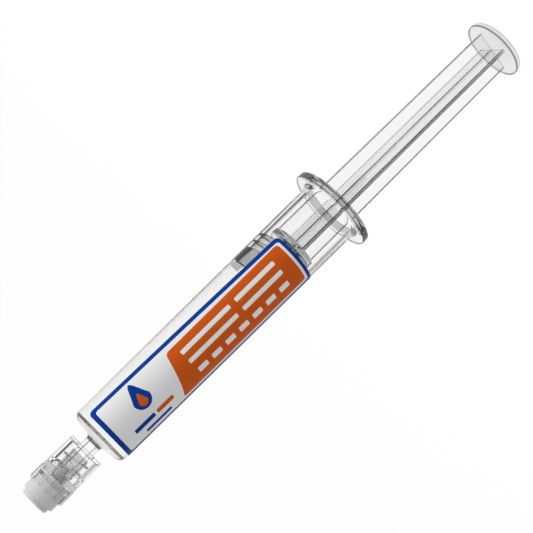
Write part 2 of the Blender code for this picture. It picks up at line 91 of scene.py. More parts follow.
@dataclass(frozen=True)
class ClearPlastic:
    """Clear moulded plastic, whose edges and bore are tinted darker than its plain surface as
    painted shade.

    Each kind of face is tinted from its first to its second value where sight runs along the face,
    standing in for the darkness that refraction and reflection show at edges, bore and walls. Only
    the haze's first value is a real haze of the plastic.
    """

    name: str
    # Painted shade: each kind's tint straight on and at grazing sight, then where along the facing
    # it falls.
    surface: tuple[float, float] = (1.0, 0.90)
    surface_ramp: tuple[float, float] = (0.80, 1.0)
    edge: tuple[float, float] = (0.45, 0.03)
    edge_ramp: tuple[float, float] = (0.30, 1.0)
    bore: tuple[float, float] = (1.0, 0.06)
    bore_ramp: tuple[float, float] = (0.60, 0.80)
    haze: tuple[float, float] = (0.60, 0.20)
    haze_ramp: tuple[float, float] = (0.80, 1.0)
    absorption: float = 10.0
    ior: float = 1.30
    waviness: float = 0.03
    wave_size: float = 0.004
    lamp_share: float = 0.97

    def build(self) -> bpy.types.Material:
        """Make the material.

        Returns:
            A Principled material with transmission, absorption and a faint moulding wave,
            which lets the light of the lamps through.
        """
        material, tree, shader = new_material(self.name)
        dial(shader, {"Transmission Weight": 1.0, "Roughness": 0.0, "IOR": self.ior})
        tree.links.new(self.tint(tree), shader.inputs["Base Color"])
        add_wave(tree, shader, self.waviness, self.wave_size)
        path = tree.nodes.new("ShaderNodeLightPath")
        lit = tree.nodes.new("ShaderNodeMath")
        lit.operation = "MAXIMUM"
        tree.links.new(path.outputs["Is Shadow Ray"], lit.inputs[0])
        tree.links.new(path.outputs["Is Diffuse Ray"], lit.inputs[1])
        open_way = tree.nodes.new("ShaderNodeBsdfTransparent")
        dial(open_way, {"Color": (*[self.lamp_share] * 3, 1.0)})
        show(tree, lit.outputs["Value"], shader.outputs["BSDF"], open_way.outputs["BSDF"])
        depth = tree.nodes.new("ShaderNodeVolumeAbsorption")
        dial(depth, {"Color": (0.5, 0.5, 0.5, 1.0), "Density": 2 * self.absorption})
        tree.links.new(depth.outputs["Volume"], tree.nodes["Material Output"].inputs["Volume"])
        return material

    def tint(self, tree: bpy.types.NodeTree) -> bpy.types.NodeSocket:
        """Choose the painted shade by the kind of face and by how far sight runs along it.

        Args:
            tree: The material's nodes.

        Returns:
            The socket of the tint.
        """
        facing = tree.nodes.new("ShaderNodeLayerWeight")
        dial(facing, {"Blend": 0.5})
        shade_zone = tree.nodes.new("ShaderNodeAttribute")
        shade_zone.attribute_name = SHADE_ZONE
        tints = []
        for shares, places in (
            (self.surface, self.surface_ramp),
            (self.edge, self.edge_ramp),
            (self.bore, self.bore_ramp),
            (self.haze, self.haze_ramp),
        ):
            stops = [(place, (share,) * 3) for place, share in zip(places, shares)]
            ramp = colour_ramp(tree, stops)
            tree.links.new(facing.outputs["Facing"], ramp.inputs["Fac"])
            tints.append(ramp.outputs["Color"])
        chosen = tints[ShadeZone.SURFACE]
        for kind in (ShadeZone.EDGE, ShadeZone.BORE, ShadeZone.HAZE):
            switch = tree.nodes.new("ShaderNodeMath")
            switch.operation = "COMPARE"
            switch.inputs[1].default_value = float(kind)
            switch.inputs[2].default_value = 0.4
            tree.links.new(shade_zone.outputs["Fac"], switch.inputs[0])
            choice = tree.nodes.new("ShaderNodeMix")
            choice.data_type = "RGBA"
            tree.links.new(switch.outputs["Value"], choice.inputs["Factor"])
            tree.links.new(chosen, choice.inputs["A"])
            tree.links.new(tints[kind], choice.inputs["B"])
            chosen = choice.outputs["Result"]
        return chosen


@dataclass(frozen=True)
class Gel:
    """Clear gel, faintly yellow, whose tint varies a little from place to place."""

    name: str
    colour: Colour = (0.97, 0.97, 0.955)
    ior: float = 1.25

    def build(self) -> bpy.types.Material:
        """Make the material.

        Returns:
            A Principled material with transmission.
        """
        material, tree, shader = new_material(self.name)
        dial(shader, {"Transmission Weight": 1.0, "Roughness": 0.0, "IOR": self.ior})
        add_mottle(tree, shader, self.colour, 0.05, 0.004)
        return material


@dataclass(frozen=True)
class WetRubber:
    """Rubber pressed on a wet wall: dark, with a pale broad gloss where seen straight on."""

    name: str
    colour: Colour = (0.012, 0.013, 0.015)
    roughness: float = 0.6
    gloss: Colour = (0.95, 0.95, 0.95)
    gloss_roughness: float = 0.75
    gloss_ramp: tuple[float, float] = (0.28, 0.33)

    def build(self) -> bpy.types.Material:
        """Make the material.

        Returns:
            A Principled material under a rough gloss that ends at oblique sight.
        """
        material, tree, shader = new_material(self.name)
        dial(shader, {"Base Color": (*self.colour, 1.0), "Roughness": self.roughness})
        add_mottle(tree, shader, self.colour, 0.2, 0.002)
        facing = tree.nodes.new("ShaderNodeLayerWeight")
        dial(facing, {"Blend": 0.5})
        start, end = self.gloss_ramp
        ramp = colour_ramp(tree, [(start, (1.0, 1.0, 1.0)), (end, (0.0, 0.0, 0.0))])
        tree.links.new(facing.outputs["Facing"], ramp.inputs["Fac"])
        gloss = tree.nodes.new("ShaderNodeBsdfAnisotropic")
        dial(gloss, {"Color": (*self.gloss, 1.0), "Roughness": self.gloss_roughness})
        show(tree, ramp.outputs["Color"], shader.outputs["BSDF"], gloss.outputs["BSDF"])
        return material


@dataclass(frozen=True)
class Solid:
    """An opaque finish: rubber, white plastic or a printed ink, and the stopper's pale grey of
    painted light.
    """

    name: str
    colour: Colour
    roughness: float
    specular: float = 0.5
    mottle: float = 0.0
    mottle_size: float = 0.002
    waviness: float = 0.0
    wave_size: float = 0.001

    def build(self) -> bpy.types.Material:
        """Make the material.

        Returns:
            A Principled material with a slight mottle of colour and surface.
        """
        material, tree, shader = new_material(self.name)
        dial(
            shader,
            {
                "Base Color": (*self.colour, 1.0),
                "Roughness": self.roughness,
                "Specular IOR Level": self.specular,
            },
        )
        add_mottle(tree, shader, self.colour, self.mottle, self.mottle_size)
        add_wave(tree, shader, self.waviness, self.wave_size)
        return material


def new_material(
    name: str,
) -> tuple[bpy.types.Material, bpy.types.NodeTree, bpy.types.Node]:
    """Start a material.

    Args:
        name: Name of the material.

    Returns:
        The material, its nodes and its Principled shader.
    """
    material = bpy.data.materials.new(name)
    material.use_nodes = True
    return material, material.node_tree, material.node_tree.nodes["Principled BSDF"]


def dial(node: bpy.types.Node, values: dict[str, float | tuple[float, ...]]) -> None:
    """Set a node's own sockets to constant values."""
    for socket, value in values.items():
        node.inputs[socket].default_value = value


def show(
    tree: bpy.types.NodeTree,
    switch: bpy.types.NodeSocket,
    off: bpy.types.NodeSocket,
    on: bpy.types.NodeSocket,
    output: str = "Material Output",
) -> None:
    """Show one of two shaders by a switch.

    Args:
        tree: The nodes that it joins.
        switch: Socket of the switch, or of the share of the second shader.
        off: The first shader's socket.
        on: The second shader's socket.
        output: Name of the output node.
    """
    mix = tree.nodes.new("ShaderNodeMixShader")
    tree.links.new(switch, mix.inputs["Fac"])
    tree.links.new(off, mix.inputs[1])
    tree.links.new(on, mix.inputs[2])
    tree.links.new(mix.outputs["Shader"], tree.nodes[output].inputs["Surface"])


def colour_ramp(
    tree: bpy.types.NodeTree, stops: Sequence[tuple[float, Colour]]
) -> bpy.types.Node:
    """Add a ramp between colours.

    Args:
        tree: The nodes that it joins.
        stops: Pairs of position and colour, in rising order.

    Returns:
        The ramp's node.
    """
    ramp = tree.nodes.new("ShaderNodeValToRGB")
    elements = ramp.color_ramp.elements
    while len(elements) < len(stops):
        elements.new(1.0)
    for element, (position, colour) in zip(elements, stops):
        element.position = position
        element.color = (*colour, 1.0)
    return ramp


def noise_at(tree: bpy.types.NodeTree, size: float) -> bpy.types.Node:
    """Add a noise on Object coordinates.

    Args:
        tree: The material's nodes.
        size: Rough size of the noise's grains, in metres.

    Returns:
        The noise node.
    """
    place = tree.nodes.new("ShaderNodeTexCoord")
    noise = tree.nodes.new("ShaderNodeTexNoise")
    dial(noise, {"Scale": 1.0 / size, "Detail": 2.0})
    tree.links.new(place.outputs["Object"], noise.inputs["Vector"])
    return noise


def add_mottle(
    tree: bpy.types.NodeTree, shader: bpy.types.Node, colour: Colour, depth: float, size: float
) -> None:
    """Vary a shader's colour softly between a darker tone and the colour itself.

    Args:
        tree: The material's nodes.
        shader: The shader that is coloured.
        colour: The full colour.
        depth: How much darker the dark tone is, or zero for a plain colour.
        size: Rough size of a patch, in metres.
    """
    if depth <= 0.0:
        return
    dark = tuple(channel * (1.0 - depth) for channel in colour)
    ramp = colour_ramp(tree, [(0.3, dark), (0.7, colour)])
    tree.links.new(noise_at(tree, size).outputs["Fac"], ramp.inputs["Fac"])
    tree.links.new(ramp.outputs["Color"], shader.inputs["Base Color"])


def add_wave(
    tree: bpy.types.NodeTree, shader: bpy.types.Node, strength: float, size: float
) -> None:
    """Give a shader the slight waviness of a moulded surface.

    Args:
        tree: The material's nodes.
        shader: The shader whose normal is bent.
        strength: Strength of the bump, or zero for none.
        size: Rough width of a wave, in metres.
    """
    if strength <= 0.0:
        return
    bump = tree.nodes.new("ShaderNodeBump")
    dial(bump, {"Strength": strength, "Distance": size / 10})
    tree.links.new(noise_at(tree, size).outputs["Fac"], bump.inputs["Height"])
    tree.links.new(bump.outputs["Normal"], shader.inputs["Normal"])


def as_mesh(name: str, sheet: bmesh.types.BMesh) -> bpy.types.Mesh:
    """Write a bmesh to a mesh of its own, and free it.

    Args:
        name: Name of the mesh.
        sheet: The bmesh, which is freed.

    Returns:
        The mesh.
    """
    mesh = bpy.data.meshes.new(name)
    sheet.to_mesh(mesh)
    sheet.free()
    return mesh


def placed(name: str, data: bpy.types.ID) -> bpy.types.Object:
    """Put a mesh, lamp or camera in the scene, at the origin.

    Args:
        name: Name of the object.
        data: Its data.

    Returns:
        The object.
    """
    obj = bpy.data.objects.new(name, data)
    bpy.context.scene.collection.objects.link(obj)
    return obj


def round_off(
    sheet: bmesh.types.BMesh,
    parts: Sequence[bmesh.types.BMEdge] | Sequence[bmesh.types.BMVert],
    offset: float,
    segments: int,
    affect: str = "EDGES",
    marked: bool = False,
) -> None:
    """Round edges or corners of a mesh.

    Args:
        sheet: The mesh, which is changed.
        parts: The edges or corners.
        offset: Width of the rounding.
        segments: Its steps.
        affect: EDGES or VERTICES.
        marked: Whether the rounding takes the edge's painted shade.
    """
    rounded = bmesh.ops.bevel(
        sheet,
        geom=parts,
        offset=offset,
        affect=affect,
        segments=segments,
        profile=0.5,
        material=-1,
    )
    if marked:
        # The rounded faces take the edge's painted shade.
        for face in rounded["faces"]:
            face.material_index = ShadeZone.EDGE


def ring_edges(
    sheet: bmesh.types.BMesh, radius: float, height: float
) -> list[bmesh.types.BMEdge]:
    """Find the edges of a turned mesh that lie on one ring.

    Args:
        sheet: The turned mesh.
        radius: Radius of the ring.
        height: Height of the ring.

    Returns:
        The ring's edges.
    """
    on_ring = {
        vert
        for vert in sheet.verts
        if abs(vert.co.z - height) < 1e-7 and abs(vert.co.xy.length - radius) < 1e-7
    }
    return [edge for edge in sheet.edges if on_ring.issuperset(edge.verts)]


def turned(
    corners: Sequence[Corner], segments: int = 144, fine: int = 4, marked: bool = False
) -> bmesh.types.BMesh:
    """Turn a profile about the Z axis and round its corners.

    Args:
        corners: Points of (radius, height) or (radius, height, rounding), down the outer side.
        segments: Steps of the turn.
        fine: Steps of each rounding.
        marked: Whether the rounded corners take the edge's painted shade.

    Returns:
        A closed mesh.
    """
    sheet = bmesh.new()
    verts = [sheet.verts.new((corner[0], 0.0, corner[1])) for corner in corners]
    loop = list(zip(verts, verts[1:]))
    if corners[0][0] > 0.0 or corners[-1][0] > 0.0:
        loop.append((verts[-1], verts[0]))
    edges = [sheet.edges.new(pair) for pair in loop]
    bmesh.ops.spin(
        sheet,
        geom=[*verts, *edges],
        cent=(0.0, 0.0, 0.0),
        axis=(0.0, 0.0, 1.0),
        angle=2 * math.pi,
        steps=segments,
        use_merge=True,
        use_duplicate=False,
    )
    bmesh.ops.remove_doubles(sheet, verts=sheet.verts, dist=1e-8)
    bmesh.ops.recalc_face_normals(sheet, faces=sheet.faces)
    for corner in corners:
        if len(corner) == 3:
            ring = ring_edges(sheet, corner[0], corner[1])
            round_off(sheet, ring, corner[2], fine, marked=marked)
    return sheet


def ridge(
    root_r: float,
    crest_r: float,
    base: float,
    crest: float,
    top: float,
    heading: float,
    pitch: float,
    turns: float,
    steps: int = 96,
) -> bmesh.types.BMesh:
    """Sweep a right-hand screw ridge down from its top end, with both ends run out.

    Args:
        root_r: Radius of its root, inside the wall that it joins.
        crest_r: Radius of its crest.
        base: Width of the root.
        crest: Width of the crest.
        top: Height of the top end's middle.
        heading: Heading of the top end, in radians.
        pitch: Rise of one turn.
        turns: Length in turns.
        steps: Steps of one turn.

    Returns:
        A closed mesh.
    """
    sheet = bmesh.new()
    section = [
        sheet.verts.new((root_r, 0.0, -base / 2)),
        sheet.verts.new((crest_r, 0.0, -crest / 2)),
        sheet.verts.new((crest_r, 0.0, crest / 2)),
        sheet.verts.new((root_r, 0.0, base / 2)),
    ]
    face = sheet.faces.new(section)
    start = Matrix.Translation((0.0, 0.0, top)) @ Matrix.Rotation(heading, 4, "Z")
    bmesh.ops.transform(sheet, matrix=start, verts=sheet.verts)
    count = round(steps * turns)
    swept = bmesh.ops.spin(
        sheet,
        geom=[face, *face.edges, *face.verts],
        cent=(0.0, 0.0, 0.0),
        axis=(0.0, 0.0, 1.0),
        dvec=(0.0, 0.0, -pitch * turns / count),
        angle=-2 * math.pi * turns,
        steps=count,
        use_duplicate=False,
    )
    last = {vert for part in swept["geom_last"] for vert in getattr(part, "verts", [part])}
    for vert in {*section, *last}:
        if abs(vert.co.xy.length - crest_r) < 1e-6:
            # The end face keeps a little height, because a union fails on a face of no area.
            vert.co.xy *= (0.9 * root_r + 0.1 * crest_r) / crest_r
    # The whole ridge takes the edge's painted shade.
    for face in sheet.faces:
        face.material_index = ShadeZone.EDGE
    bmesh.ops.recalc_face_normals(sheet, faces=sheet.faces)
    return sheet


def united(sheets: Sequence[bmesh.types.BMesh]) -> bmesh.types.BMesh:
    """Join closed meshes into one closed mesh.

    Args:
        sheets: The meshes, which are freed.

    Returns:
        Their union.
    """
    solids = []
    for i, sheet in enumerate(sheets):
        mesh = bpy.data.meshes.new(f"operand_{i}")
        for _ in ShadeZone:
            mesh.materials.append(None)
        sheet.to_mesh(mesh)
        sheet.free()
        solids.append(placed(mesh.name, mesh))
    for other in solids[1:]:
        union = solids[0].modifiers.new(other.name, "BOOLEAN")
        union.operation = "UNION"
        union.solver = "EXACT"
        union.object = other
    result = bmesh.new()
    result.from_object(solids[0], bpy.context.evaluated_depsgraph_get())
    for solid in solids:
        bpy.data.meshes.remove(solid.data)
    return result


def piece(
    name: str,
    sheet: bmesh.types.BMesh,
    body: Body | None,
    nodes: Iterable[str] = (),
    materials: Sequence[bpy.types.Material] = (),
    sharp: float = 35.0,
) -> bpy.types.Object:
    """Make a mesh a piece of the model that rides on a body.

    Args:
        name: Name of the piece.
        sheet: Its mesh, which is freed.
        body: The body that it rides on, or None for a piece that rides on no body.
        nodes: CAD nodes that it replaces.
        materials: Its materials, in the order of its faces' indices.
        sharp: Angle in degrees above which an edge stays sharp.

    Returns:
        The piece's object.
    """
    for face in sheet.faces:
        face.smooth = True
    mesh = as_mesh(name, sheet)
    mesh.set_sharp_from_angle(angle=math.radians(sharp))
    obj = placed(name, mesh)
    if len(materials) == 1:
        # Each face's kind, which chooses its painted shade, goes to an attribute.
        kinds = mesh.attributes.new(SHADE_ZONE, "FLOAT", "FACE")
        kinds.data.foreach_set("value", [float(face.material_index) for face in mesh.polygons])
        for face in mesh.polygons:
            face.material_index = 0
    for material in materials:
        mesh.materials.append(material)
    if nodes:
        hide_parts(*nodes)
    if body is not None:
        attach(obj, body.value)
    LOG.info("%s: %d faces", name, len(mesh.polygons))
    return obj


@dataclass
class Barrel:
    """Clear barrel: drafted tube, finger flange, shoulder, neck and luer tip."""

    bore_r: float = 0.00785
    nozzle_r: float = 0.0085
    flange_wall_r: float = 0.0091
    flange_r: float = 0.01255
    flange_back: float = 0.0654
    flange_front: float = 0.0673
    bore_end: float = 0.1522
    shoulder_rim: float = 0.1536
    shoulder_top: float = 0.1544
    tip_end: float = 0.16525
    neck_dia: float = 0.00455
    taper: float = 0.06
    channel_r: float = 0.0011
    gel_end: float = 0.0958

    def wall(self, height: float) -> float:
        """Outer radius of the drafted wall at a height."""
        share = (height - self.flange_front) / (self.shoulder_rim - self.flange_front)
        return self.flange_wall_r + (self.nozzle_r - self.flange_wall_r) * share

    def tip(self, height: float) -> float:
        """Radius of the tapered neck and tip at a height."""
        return (self.neck_dia - self.taper * (height - self.shoulder_top)) / 2

    def build(self) -> bpy.types.Object:
        """Turn the barrel in one piece.

        Returns:
            The barrel's object.
        """
        sheet = turned(
            [
                (self.tip(self.tip_end), self.tip_end, 0.00015),
                (self.tip(self.shoulder_top), self.shoulder_top, 0.0008),
                (self.nozzle_r - 0.0010, self.shoulder_rim, 0.0005),
                (self.nozzle_r, self.shoulder_rim - 0.0010, 0.0005),
                (self.flange_wall_r, self.flange_front, 0.0010),
                (self.flange_r, self.flange_front, 0.0003),
                (self.flange_r, self.flange_back, 0.0003),
                (self.bore_r + 0.0005, self.flange_back, 0.0001),
                (self.bore_r, self.flange_back + 0.0011, 0.0001),
                (self.bore_r, self.gel_end),
                (self.bore_r, self.bore_end, 0.0004),
                (self.channel_r, self.bore_end + 0.0009),
                (self.channel_r, self.tip_end),
            ]
        )
        self.mark(sheet)
        # The barrel's tints are painted shade: a wall darker at grazing sight, a dark bore and
        # dark rounded edges.
        plastic = ClearPlastic(
            "clear_barrel",
            surface=(1.0, 0.86),
            surface_ramp=(0.50, 0.72),
            edge=(0.36, 0.03),
        )
        return piece(
            "barrel_clear",
            sheet,
            Body.BARREL,
            ["barrel"],
            [plastic.build()],
        )

    def mark(self, sheet: bmesh.types.BMesh) -> None:
        """Mark the faces that take painted shade: the empty bore and the tip's outside take the
        bore's, and the flange's rim, the neck's foot and the shoulder's edge take the edge's.
        """
        for face in sheet.faces:
            middle = face.calc_center_median()
            radius = middle.xy.length
            if radius < self.bore_r + 0.0001 and middle.z < self.gel_end:
                face.material_index = ShadeZone.BORE
            elif radius > self.flange_r - 0.0003 and middle.z < self.flange_front:
                face.material_index = ShadeZone.EDGE
            elif 0.0 < middle.z - self.shoulder_top < 0.0009 and radius < self.neck_dia:
                face.material_index = ShadeZone.EDGE
            elif radius > self.nozzle_r - 0.0004 and middle.z > self.shoulder_rim - 0.0014:
                face.material_index = ShadeZone.EDGE
            elif middle.z > self.shoulder_top and radius > self.tip(middle.z) - 0.0001:
                face.material_index = ShadeZone.BORE


@dataclass
class PlungerRod:
    """Clear plunger rod: thumb disc, crossed ribs, front disc and the stopper's stud."""

    disc_r: float = 0.0090
    disc_thick: float = 0.0015
    rib_foot: float = 0.0061
    rib_tip: float = 0.0066
    rib_thick: float = 0.0010
    heading: float = math.radians(248.5)
    ribs_top: float = 0.0812
    front_r: float = 0.00685
    front_top: float = 0.0830
    stopper_back: float = 0.0849
    stud_neck_r: float = 0.0028
    stud_head_r: float = 0.0044

    def cross(self) -> bmesh.types.BMesh:
        """Extrude the cross of ribs, narrower at its foot, and round its long edges.

        Returns:
            A closed mesh, from inside the thumb disc to inside the front disc.
        """
        half = self.rib_thick / 2
        corner = [(half, half), (half, self.rib_tip), (-half, self.rib_tip)]
        outline = [
            Matrix.Rotation(quarter * math.pi / 2, 2) @ Vector(point)
            for quarter in range(4)
            for point in corner
        ]
        sheet = bmesh.new()
        level = self.disc_thick / 2
        foot = sheet.faces.new([sheet.verts.new((*point, level)) for point in outline])
        lifted = bmesh.ops.extrude_face_region(sheet, geom=[foot])
        top = [vert for vert in lifted["geom"] if isinstance(vert, bmesh.types.BMVert)]
        rise = (self.ribs_top + self.front_top) / 2 - self.disc_thick / 2
        bmesh.ops.translate(sheet, verts=top, vec=(0.0, 0.0, rise))
        draft = self.rib_tip - self.rib_foot
        for vert in foot.verts:
            far = 0 if abs(vert.co.x) > abs(vert.co.y) else 1
            if abs(vert.co[far]) > 2 * half:
                vert.co[far] -= math.copysign(draft, vert.co[far])
        bmesh.ops.recalc_face_normals(sheet, faces=sheet.faces)
        long_edges = [edge for edge in sheet.edges if edge.calc_length() > rise / 2]
        tips = [edge for edge in long_edges if edge.verts[0].co.xy.length > 4 * half]
        roots = [edge for edge in long_edges if edge.verts[0].co.xy.length <= 4 * half]
        # The rounded long edges take the edge's painted shade.
        for edges, offset in ((tips, 0.00023), (roots, 0.00015)):
            round_off(sheet, edges, offset, 3, marked=True)
        turn = Matrix.Rotation(self.heading + math.pi / 2, 3, "Z")
        bmesh.ops.rotate(sheet, verts=sheet.verts, cent=(0.0, 0.0, 0.0), matrix=turn)
        return sheet

    def thumb_disc(self) -> bmesh.types.BMesh:
        """Turn the thumb disc."""
        corners = [
            (0.0, self.disc_thick),
            (self.disc_r, self.disc_thick, 0.00035),
            (self.disc_r, 0.0, 0.00035),
            (0.0, 0.0),
        ]
        # The disc's rounded rim takes the edge's painted shade.
        return turned(corners, marked=True)

    def front(self) -> bmesh.types.BMesh:
        """Turn the front disc, its neck and the stud's head."""
        lip = self.stopper_back + 0.0022
        corners = [
            (0.0, lip + 0.0022),
            (self.stud_head_r * 0.6, lip + 0.0022, 0.0003),
            (self.stud_head_r, lip + 0.0011, 0.0002),
            (self.stud_head_r, lip, 0.0001),
            (self.stud_neck_r, lip),
            (self.stud_neck_r, self.front_top, 0.0004),
            (self.front_r, self.front_top, 0.0003),
            (self.front_r, self.ribs_top, 0.0003),
            (0.0, self.ribs_top),
        ]
        return turned(corners)

    def build(self) -> bpy.types.Object:
        """Join the discs and the cross into one moulding.

        Returns:
            The rod's object.
        """
        sheet = united([self.thumb_disc(), self.cross(), self.front()])
        return piece(
            "plunger_rod_clear",
            sheet,
            Body.PLUNGER,
            ["plunger_rod"],
            # The rod's edges are tinted nearly black as painted shade.
            [ClearPlastic("clear_rod", edge=(0.12, 0.16), absorption=85.0).build()],
            sharp=25.0,
        )


@dataclass
class Stopper:
    """Rubber stopper with a wide front seal, a thin middle seal and a rear seal: dark rubber on
    the seals, painted pale grey elsewhere as painted light.
    """

    seal_r: float = 0.007852
    groove_r: float = 0.00695
    back: float = 0.0849
    front: float = 0.0958
    cone: float = 0.0009
    front_seal: float = 0.0056
    groove: float = 0.0015
    middle_seal: float = 0.0011
    rear_seal: float = 0.0014
    lip: float = 0.0022
    cavity_neck_r: float = 0.0029
    cavity_r: float = 0.0045
    cavity_end_r: float = 0.00274
    seal_share: float = 0.0005

    def build(self) -> bpy.types.Object:
        """Turn the stopper with its cavity for the stud.

        Returns:
            The stopper's object.
        """
        seal_back = self.front - self.front_seal
        middle_front = seal_back - self.groove
        middle_back = middle_front - self.middle_seal
        rear_front = self.back + self.rear_seal
        lip = self.back + self.lip
        sheet = turned(
            [
                (0.0, self.front + self.cone),
                (self.seal_r, self.front, 0.0003),
                (self.seal_r, seal_back, 0.0002),
                (self.groove_r, seal_back, 0.0002),
                (self.groove_r, middle_front, 0.0002),
                (self.seal_r, middle_front, 0.0002),
                (self.seal_r, middle_back, 0.0002),
                (self.groove_r, middle_back, 0.0002),
                (self.groove_r, rear_front, 0.0002),
                (self.seal_r, rear_front, 0.0002),
                (self.seal_r, self.back, 0.0003),
                (self.cavity_neck_r, self.back, 0.0002),
                (self.cavity_neck_r, lip - 0.0001),
                (self.cavity_r, lip - 0.0001),
                (self.cavity_r, lip + 0.0011),
                (self.cavity_end_r, lip + 0.0023),
                (0.0, lip + 0.0023),
            ]
        )
        # The seals keep the dark rubber; the other faces are painted pale grey as painted light.
        for face in sheet.faces:
            radius = face.calc_center_median().xy.length
            face.material_index = 1 if radius > self.groove_r + self.seal_share else 0
        pale_painted_light = Solid("grey_rubber", (0.66, 0.66, 0.67), 0.5, mottle=0.25, mottle_size=0.0015)
        return piece(
            "stopper_rubber",
            sheet,
            Body.PLUNGER,
            ["plunger_stopper"],
            [pale_painted_light.build(), WetRubber("wet_rubber").build()],
        )


@dataclass
class FluxColumn:
    """The gel between the stopper and the shoulder; the real gel shortens as the plunger goes in.
    """

    radius: float = 0.007852
    bore_end: float = 0.1522
    front: float = 0.0958
    channel_r: float = 0.0011
    gap: float = 0.0001
    contact: float = 0.000002

    def build(self) -> bpy.types.Object:
        """Turn the column, reaching from the stopper's front to the end of the barrel's bore.

        Returns:
            The column's object.
        """
        top = self.bore_end + 0.0009 + self.contact
        foot = self.front + self.gap
        sheet = turned(
            [
                (0.0, top),
                (self.channel_r, top),
                (self.radius, self.bore_end + self.contact, 0.0004),
                (self.radius, foot),
                (0.0, foot + 0.0009),
            ]
        )
        column = piece("flux_column", sheet, None, ["flux"], [Gel("flux_gel").build()])
        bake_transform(column)
        return column


@dataclass
class LockCollar:
    """Clear luer-lock collar round the tip, with a short ridge inside."""

    back: float = 0.15725
    front: float = 0.16575
    bore_r: float = 0.00403
    wall: float = 0.00135
    draft: float = 0.00015
    web_r: float = 0.00204
    web_thick: float = 0.0009
    ridge_height: float = 0.0006
    ridge_width: float = 0.0006
    ridge_heading: float = math.radians(64.1)
    ridge_turns: float = 0.95
    pitch: float = 0.0025

    def build(self) -> bpy.types.Object:
        """Turn the collar and add its ridge.

        Returns:
            The collar's object.
        """
        outer = self.bore_r + self.wall
        web_front = self.back + self.web_thick
        shell = turned(
            [
                (outer, self.front, 0.0002),
                (outer - self.draft, self.back, 0.0002),
                (self.web_r, self.back),
                (self.web_r, web_front),
                (self.bore_r, web_front, 0.0002),
                (self.bore_r, self.front, 0.0001),
            ]
        )
        # The bore takes the bore's painted shade.
        for face in shell.faces:
            if face.calc_center_median().xy.length < self.bore_r + 0.0001:
                face.material_index = ShadeZone.BORE
        strand = ridge(
            self.bore_r + 0.00015,
            self.bore_r - self.ridge_height,
            self.ridge_width,
            self.ridge_width / 2,
            self.front - self.ridge_width,
            self.ridge_heading,
            self.pitch,
            self.ridge_turns,
        )
        for face in strand.faces:
            face.material_index = ShadeZone.SURFACE
        return piece(
            "lock_collar_clear",
            united([shell, strand]),
            Body.BARREL,
            ["luer_lock_collar"],
            [ClearPlastic("clear_collar", ior=1.34).build()],
        )


@dataclass
class CapShell:
    """Clear part of the cap: threaded tube, ring and ribbed grip sleeve."""

    tube_r: float = 0.00268
    tube_end: float = 0.15925
    tip_end: float = 0.16525
    ring_back: float = 0.16585
    ring_front: float = 0.16775
    sleeve_end: float = 0.17195
    sleeve_bore_r: float = 0.00495
    sleeve_r: float = 0.00535
    rib_height: float = 0.0002
    rib_width: float = 0.0009
    ribs: int = 12
    rib_heading: float = math.radians(265.0)
    pitch: float = 0.0025
    ridge_height: float = 0.0010
    ridge_base: float = 0.0006
    ridge_crest: float = 0.0003
    ridge_heading: float = math.radians(126.0)
    ridge_turns: float = 2.0
    ring_step: float = 0.00005
    stem_hole_r: float = 0.00195
    bead_depth: float = 0.0004

    def grip(self) -> list[bmesh.types.BMesh]:
        """Model the straight ribs of the sleeve, one closed bar each."""
        inner = self.sleeve_r - 0.0002
        outer = self.sleeve_r + self.rib_height
        bottom = self.ring_front - 0.0005
        top = self.sleeve_end - 0.0004
        size = Matrix.Diagonal((outer - inner, self.rib_width, top - bottom, 1.0))
        middle = Matrix.Translation(((inner + outer) / 2, 0.0, (bottom + top) / 2))
        bars = []
        for i in range(self.ribs):
            bar = bmesh.new()
            bmesh.ops.create_cube(bar, size=1.0, matrix=middle @ size)
            crown = [
                edge
                for edge in bar.edges
                if min(vert.co.x for vert in edge.verts) > (inner + outer) / 2
            ]
            # The ribs' rounded crowns take the edge's painted shade.
            round_off(bar, crown, self.rib_height * 0.7, 3, marked=True)
            turn = Matrix.Rotation(self.rib_heading + 2 * math.pi * i / self.ribs, 3, "Z")
            bmesh.ops.rotate(bar, verts=bar.verts, cent=(0.0, 0.0, 0.0), matrix=turn)
            bars.append(bar)
        return bars

    def build(self) -> bpy.types.Object:
        """Turn the shell and add its ridge and ribs.

        Returns:
            The shell's object.
        """
        ring_r = self.sleeve_r + self.ring_step
        shell = turned(
            [
                (self.sleeve_r, self.sleeve_end, 0.00015),
                (self.sleeve_r, self.ring_front),
                (ring_r, self.ring_front),
                (ring_r, self.ring_back, 0.0002),
                (self.tube_r, self.ring_back, 0.0002),
                (self.tube_r, self.tube_end, 0.0001),
                (self.tube_r - 0.00045, self.tube_end),
                (0.00205, self.tip_end),
                (self.stem_hole_r, self.tip_end),
                (self.stem_hole_r, self.ring_front),
                (self.sleeve_bore_r, self.ring_front),
                (self.sleeve_bore_r, self.ring_front + 0.00095),
                (self.sleeve_bore_r - self.bead_depth, self.ring_front + 0.0013),
                (self.sleeve_bore_r, self.ring_front + 0.00165),
                (self.sleeve_bore_r, self.sleeve_end, 0.00015),
            ]
        )
        # The outside of the tube and of the ring take the haze: a slight real haze, darkened at
        # grazing sight as painted shade.
        for face in shell.faces:
            middle = face.calc_center_median()
            if self.tube_r - 0.0001 < middle.xy.length and middle.z < self.ring_front:
                face.material_index = ShadeZone.HAZE
        strand = ridge(
            self.tube_r - 0.00015,
            self.tube_r + self.ridge_height,
            self.ridge_base,
            self.ridge_crest,
            self.ring_back - 0.0008,
            self.ridge_heading,
            self.pitch,
            self.ridge_turns,
        )
        sheet = united([shell, strand, *self.grip()])
        return piece(
            "cap_shell_clear",
            sheet,
            Body.CAP_SHELL,
            ["cap_shell"],
            [ClearPlastic("clear_cap", edge=(0.4, 0.2), ior=1.18).build()],
            sharp=30.0,
        )


